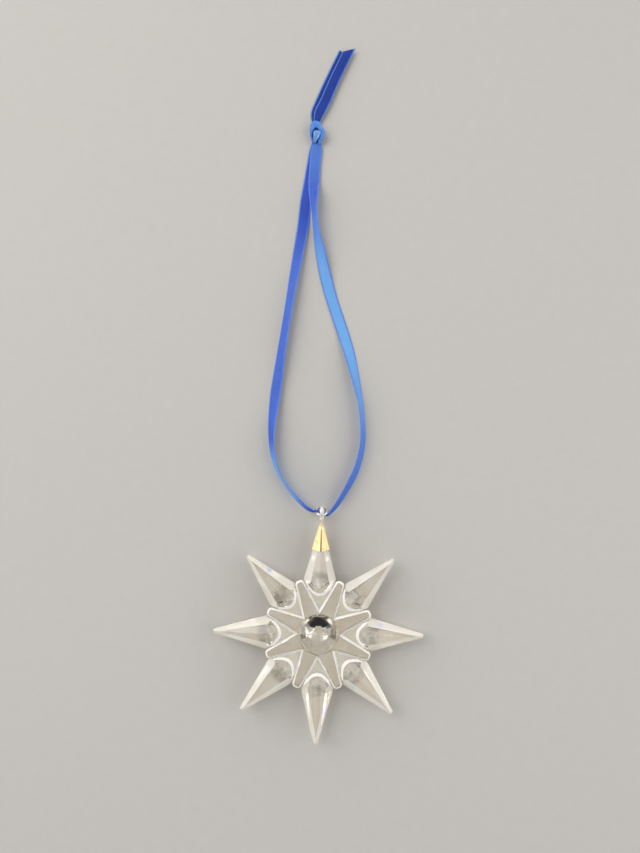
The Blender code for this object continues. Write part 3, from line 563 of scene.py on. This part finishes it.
def crystal_material(name, tint, clear=1.0, roughness=0.0, dark_reflection=0.0):
    """Cut crystal; the part that isn't clear is finely ground, except on the bevels, where it is a painted
    highlight; a painted dark reflection darkens the spikes' inner ends and painted glints colour a few spots.
    """
    n = material_nodes(name)
    place = n.place()
    cloud = n.span(n.noise(place, CLOUD_GRAIN, 3.0), 0.42, 0.75)
    colour = n.mix(cloud, (*tint, 1), CLOUD)
    # Painted dark reflection: a patchy darker ring round the middle, at the spikes' inner ends
    if dark_reflection:
        split = n.add("ShaderNodeSeparateXYZ", {0: place})
        flat = n.add("ShaderNodeCombineXYZ", {0: split.outputs[0], 1: split.outputs[1]}).outputs[0]
        away = n.add("ShaderNodeVectorMath", {0: flat}, operation="LENGTH").outputs["Value"]
        off = n.math("ABSOLUTE", n.math("SUBTRACT", away, DARK_REFLECTION_PLACE))
        near = n.span(off, DARK_REFLECTION_REACH, DARK_REFLECTION_REACH / 3, 0.0, dark_reflection, smooth=True)
        patch = n.span(n.noise(place, DARK_REFLECTION_GRAIN, 2.0), 0.4, 0.6)
        colour = n.mix(n.math("MULTIPLY", near, patch), colour, PAINTED_DARK_REFLECTION)
    # Painted glints: the colour turns to each glint's colour near its place
    for centre, radius, glint in PAINTED_GLINTS:
        away = n.distance(place, Vector(centre) * MM)
        near = n.span(away, PAINTED_GLINT_CORE * radius * MM, radius * MM, 1.0, 0.0, smooth=True)
        colour = n.mix(near, colour, (*glint, 1))
    n.to(colour, "Base Color")
    n.set(Transmission_Weight=clear, IOR=CRYSTAL_IOR, Roughness=roughness)
    return n.owner


ADHESIVE_IOR = 1.48
ADHESIVE_COLOURS = (0.95, 0.93, 0.87, 1), (1.0, 0.985, 0.95, 1)
BUBBLE_GRAIN = 900.0


def adhesive_material(name, clear, roughness):
    n = material_nodes(name)
    n.to(n.mix(n.noise(n.place(), BUBBLE_GRAIN, 1.0), *ADHESIVE_COLOURS), "Base Color")
    n.set(Transmission_Weight=clear, IOR=ADHESIVE_IOR, Roughness=roughness)
    return n.owner


GOLD, STAIN = (0.91, 0.76, 0.39, 1), (0.45, 0.33, 0.14, 1)
# Painted shade along the hanger's crease
CREASE_PAINTED_SHADE = (0.36, 0.21, 0.08, 1)
BARE_METAL = (0.84, 0.82, 0.79, 1)
CREASE_HALF = (0.08 * MM, 0.24 * MM)         # from the hanger's middle, where the painted shade along its crease fades
FLAP_END = (26.6 * MM, 27.2 * MM)            # from the star's middle
GOLD_END = (28.2 * MM, 29.2 * MM)
SPOT_GRAIN, METAL_GRAIN = 900.0, 2600.0
METAL_BUMP = 0.02 * MM


def gold_material():
    """Pale gold plate, stained in spots, with painted shade along its crease, and worn to bare metal at the
    eye.
    """
    n = material_nodes("pale_gold_metal")
    place = n.place()
    split = n.add("ShaderNodeSeparateXYZ", {0: place})
    # Painted shade along the crease, as far as the flap's end
    crease = n.span(n.math("ABSOLUTE", split.outputs[0]), *CREASE_HALF, 1.0, 0.0, smooth=True)
    crease = n.math("MULTIPLY", crease, n.span(split.outputs[1], *FLAP_END, 1.0, 0.0))
    spots = n.noise(place, SPOT_GRAIN, 4.0, 0.65)
    plate = n.mix(n.span(spots, 0.60, 0.74), GOLD, STAIN)
    plate = n.mix(crease, plate, CREASE_PAINTED_SHADE)
    worn = n.span(split.outputs[1], *GOLD_END, smooth=True)
    n.to(n.mix(worn, plate, BARE_METAL), "Base Color")
    n.to(n.span(spots, 0.0, 1.0, 0.32, 0.55), "Roughness")
    n.bump(n.noise(place, METAL_GRAIN, 3.0), 0.12, METAL_BUMP)
    n.set(Metallic=0.55)
    return n.owner


WIRE_COLOURS = (0.74, 0.735, 0.72, 1), (0.86, 0.855, 0.84, 1)
# Painted shade on the inside of the ring
WIRE_PAINTED_SHADE = (0.085, 0.06, 0.045, 1)
WIRE_GRAIN = 1500.0
WIRE_SHADE_FULL, WIRE_SHADE_END = 0.35, 0.6        # share of the way from the ring's inside to its outside
WIRE_SHADE_WANDER = 0.2


def wire_material(centre, inside, outside):
    """Bright drawn wire, with painted shade on the inside of its ring."""
    n = material_nodes("silver_wire")
    place = n.place()
    wear = n.noise(place, WIRE_GRAIN, 3.0)
    away = n.math("ADD", n.distance(place, centre),
                  n.math("MULTIPLY", wear, WIRE_SHADE_WANDER * (outside - inside)))
    full, end = (share * outside + (1 - share) * inside for share in (WIRE_SHADE_FULL, WIRE_SHADE_END))
    # Painted shade toward the ring's inside, its edge wandering with the wear
    painted_shade = n.span(away, full, end, 1.0, 0.0)
    n.to(n.mix(painted_shade, n.mix(wear, *WIRE_COLOURS), WIRE_PAINTED_SHADE), "Base Color")
    n.to(n.span(wear, 0.0, 1.0, 0.18, 0.34), "Roughness")
    n.bump(wear, 0.1, METAL_BUMP)
    n.set(Metallic=1.0)
    return n.owner


WELD = 0.002 * MM                # corners this close are one
FACET_ROUND, FACET_ANGLE = 0.035 * MM, 8     # of the crystal's edges, where faces turn by more degrees
SHEET_ROUND, SHEET_ANGLE = 0.04 * MM, 25     # of the hanger's
NOSE_CHAMFER = 0.42 * MM         # of the ground rims at the spikes' noses
ARM_CHAMFER = 0.46 * MM          # and round the rosette's arms
LEVEL, UPRIGHT = 0.97, 0.3       # how much a face looks up or down
WORKED, LEVELLED, GROUND, WALL = range(1, 5)  # a crystal piece's material places, after its clear one
BEVEL_FLATTEST, BEVEL_STEEPEST = 0.85, 0.5    # how much a spike's side bevels look up
ARM_START = 5.2 * MM             # from the middle


def dress(node, *materials):
    nodes[node].data.materials.clear()
    for material in materials:
        nodes[node].data.materials.append(material)


def modifier(obj, kind, **settings):
    made = obj.modifiers.new(kind.lower(), kind)
    for key, value in settings.items():
        setattr(made, key, value)


def join_corners(node):
    """Smooth faces over corners that are joined, since the node's triangles come apart."""
    for face in nodes[node].data.polygons:
        face.use_smooth = True
    modifier(nodes[node], "WELD", merge_threshold=WELD)


def mark_rims(node, by_walls):
    """Weigh the edges of a piece's level faces, by its upright walls or elsewhere, for the chamfer."""
    mesh = nodes[node].data
    sides, edges = {}, {}

    def key(edge):
        return frozenset(tuple(round(c / MM, 3) for c in mesh.vertices[v].co) for v in edge)

    for face in mesh.polygons:
        for edge in face.edge_keys:
            sides.setdefault(key(edge), []).append(face.normal)
    for edge in mesh.edges:
        edges.setdefault(key(edge.vertices), []).append(edge.index)
    weights = mesh.attributes.new("bevel_weight_edge", "FLOAT", "EDGE")
    for place, normals in sides.items():
        steep, flat = sorted(abs(n.z) for n in normals)
        if steep < LEVEL < flat and (steep < UPRIGHT) == by_walls:
            for index in edges[place]:
                weights.data[index].value = 1.0


def polish(node, width, angle, chamfer=0.0, by_walls=False):
    """Join the facets' corners, chamfer the level faces' rims and round every edge slightly."""
    join_corners(node)
    if chamfer:
        mark_rims(node, by_walls)
        modifier(nodes[node], "BEVEL", width=chamfer, segments=1, limit_method="WEIGHT",
                 use_clamp_overlap=False, harden_normals=False, material=GROUND)
    modifier(nodes[node], "BEVEL", width=width, segments=2, limit_method="ANGLE",
             angle_limit=math.radians(angle), harden_normals=False)
    modifier(nodes[node], "WEIGHTED_NORMAL", mode="FACE_AREA", keep_sharp=False)


# The spikes' crystal carries the painted dark reflection
spike_crystal = crystal_material("cut_crystal", (0.92, 0.84, 0.71), 0.95, dark_reflection=0.8)
# The bevels' cloudy white share is a painted highlight for the bright light that they reflect
bevel_crystal = crystal_material("bevel_crystal", (0.99, 0.94, 0.83), 0.45)
wall_crystal = crystal_material("wall_crystal", (0.99, 0.965, 0.92), 0.3, 0.3)
rosette_crystal = crystal_material("rosette_crystal", (0.95, 0.89, 0.76))
arm_crystal = crystal_material("arm_crystal", (0.89, 0.81, 0.665), 0.8)
pocket_crystal = crystal_material("pocket_crystal", (0.98, 0.90, 0.74), 0.6)
ground_crystal = crystal_material("ground_crystal", (1.0, 0.97, 0.91), 0.1, 0.5)
adhesive = adhesive_material("clear_adhesive", 1.0, 0.03)
cloudy_adhesive = adhesive_material("cloudy_adhesive", 0.2, 0.35)


def dress_spike(name):
    dress(name, spike_crystal, bevel_crystal, pocket_crystal, ground_crystal, wall_crystal)
    mesh = nodes[name].data
    outward = sum((v.co.xy for v in mesh.vertices), Vector((0, 0))).normalized()
    for face in mesh.polygons:
        looks_up, looks_out = abs(face.normal.z), face.normal.xy.dot(outward)
        if looks_up > LEVEL:
            face.material_index = LEVELLED
        elif looks_out > 0 and BEVEL_STEEPEST < looks_up < BEVEL_FLATTEST:
            face.material_index = WORKED
        elif looks_up < UPRIGHT and looks_out < -UPRIGHT:
            face.material_index = WALL
    polish(name, FACET_ROUND, FACET_ANGLE, NOSE_CHAMFER)


for name in nodes:
    if name.startswith("spike_"):
        dress_spike(name)
    elif "film" in name:
        dress(name, adhesive)
dress("centre_rosette", rosette_crystal, bevel_crystal, arm_crystal, ground_crystal)
for face in nodes["centre_rosette"].data.polygons:
    if face.center.xy.length > ARM_START:
        face.material_index = LEVELLED
polish("centre_rosette", FACET_ROUND, FACET_ANGLE, ARM_CHAMFER, by_walls=True)
dress("hanger", gold_material())
polish("hanger", SHEET_ROUND, SHEET_ANGLE)
ring_points = [v.co for v in nodes["ring"].data.vertices]
ring_centre = sum(ring_points, Vector()) / len(ring_points)
ring_reach = [(p - ring_centre).length for p in ring_points]
dress("ring", wire_material(ring_centre, min(ring_reach), max(ring_reach)))
join_corners("ring")
modifier(nodes["ring"], "SUBSURF", levels=2, render_levels=2)


# Adhesive that has risen in the joints between spikes and arms, on top of the films
BEAD_LEVEL = 4.95 * MM
BEAD_SINK = 0.03 * MM            # into the film
BEAD_SPREAD = 0.05 * MM          # past each side of the film, along its spike
BEAD_ROUND = 0.03 * MM


def bead_mesh(film):
    """The film's own plan, a little wider, from its top to just below the spike's level face."""
    middle = sum((v.co for v in film.vertices), Vector()) / len(film.vertices)
    outward = middle.xy.normalized()

    def along(v):
        return v.co.xy.dot(outward)

    def aside(v):
        return abs(v.co.xy.cross(outward))

    tip = [along(v) for v in film.vertices if aside(v) < BEAD_SINK]
    inner, outer = min(tip), max(tip)
    top = max(v.co.z for v in film.vertices)
    bm = bmesh.new()
    bm.from_mesh(film)
    bmesh.ops.remove_doubles(bm, verts=bm.verts, dist=WELD)
    width = max(aside(v) for v in bm.verts)
    inner_end = min(along(v) for v in bm.verts if aside(v) > width - WELD)
    slope = (inner_end - inner) / width
    for v in bm.verts:
        inside = along(v) - slope * aside(v) < (inner + outer) / 2
        v.co.xy += outward * (-BEAD_SPREAD if inside else BEAD_SPREAD)
        v.co.z = BEAD_LEVEL if v.co.z > middle.z else top - BEAD_SINK
    return to_mesh(bm, "bead")


for name in list(nodes):
    if name.startswith("joint_film_"):
        bead = add_piece(name.replace("film", "bead"), bead_mesh(nodes[name].data), cloudy_adhesive,
                         "star")
        modifier(bead, "BEVEL", width=BEAD_ROUND, segments=2)


# Stage and light
FLOOR_SIZE = 3.0
FLOOR_DROP = 0.05 * MM
FLOOR_COLOURS = (0.555, 0.535, 0.50, 1), (0.585, 0.565, 0.53, 1)
FLOOR_GRAIN = 400.0
PLAIN_SHARE = 0.9                # of the floor that the crystal shows without shadows


def floor():
    mesh = bpy.data.meshes.new("floor")
    half = FLOOR_SIZE / 2
    mesh.from_pydata([(x * half, y * half, -FLOOR_DROP) for x, y in ((-1, -1), (1, -1), (1, 1), (-1, 1))],
                     [], [(0, 1, 2, 3)])
    obj = add_object("floor", mesh)
    n = material_nodes("floor")
    pale = n.mix(n.noise(n.place(), FLOOR_GRAIN, 3.0), *FLOOR_COLOURS)
    n.to(pale, "Base Color")
    n.set(Roughness=0.85, Specular_IOR_Level=0.2)
    # The same floor without its shadows, for the rays that come through the crystal
    ray = n.add("ShaderNodeLightPath")
    plain = n.add("ShaderNodeEmission", {"Color": pale, "Strength": 1.0})
    share = n.math("MULTIPLY", ray.outputs["Is Transmission Ray"], PLAIN_SHARE)
    seen = n.add("ShaderNodeMixShader", {0: share, 1: n.shader.outputs[0], 2: plain.outputs[0]})
    n.tree.links.new(seen.outputs[0], n.tree.nodes["Material Output"].inputs["Surface"])
    n.owner.cycles.emission_sampling = "NONE"
    mesh.materials.append(n.owner)


LIGHT_TARGET = Vector((0, 0.02, 0))


def area_light(name, place, size, power):
    data = bpy.data.lights.new(name, "AREA")
    data.size, data.energy = size, power
    obj = add_object(name, data)
    obj.location = place
    obj.rotation_euler = (LIGHT_TARGET - Vector(place)).to_track_quat("-Z", "Y").to_euler()


# The studio: bright low down, dimmer overhead, with one dark card that the crystal's heart shows
SKY_STRENGTH = 1.7
SKY = ((0.0, 1.0), (0.28, 0.9), (0.45, 0.45), (0.7, 0.26), (1.0, 0.16))   # share of it, by height
SHADE_TOWARD = Vector((0.0, -0.5, 0.86)).normalized()
SHADE_INNER, SHADE_OUTER = math.cos(math.radians(25.0)), math.cos(math.radians(30.0))
SHADE_LEVEL = 0.03


def world():
    n = Nodes(bpy.data.worlds.new("studio"), "Background")
    scene.world = n.owner
    ray = n.add("ShaderNodeTexCoord").outputs["Generated"]
    sky = n.ramp(n.add("ShaderNodeSeparateXYZ", {0: ray}).outputs[2], *SKY)
    toward = n.add("ShaderNodeVectorMath", {0: ray, 1: SHADE_TOWARD}, operation="DOT_PRODUCT")
    shade = n.span(toward.outputs["Value"], SHADE_OUTER, SHADE_INNER, 1.0, SHADE_LEVEL)
    n.to(n.mix(1.0, sky, shade, "MULTIPLY"), "Color")
    n.set(Strength=SKY_STRENGTH)


floor()
world()
area_light("key", (-0.42, 0.30, 0.46), 0.5, 2.4)
area_light("fill", (0.40, 0.05, 0.30), 0.4, 0.65)

scene.view_settings.view_transform = "Standard"
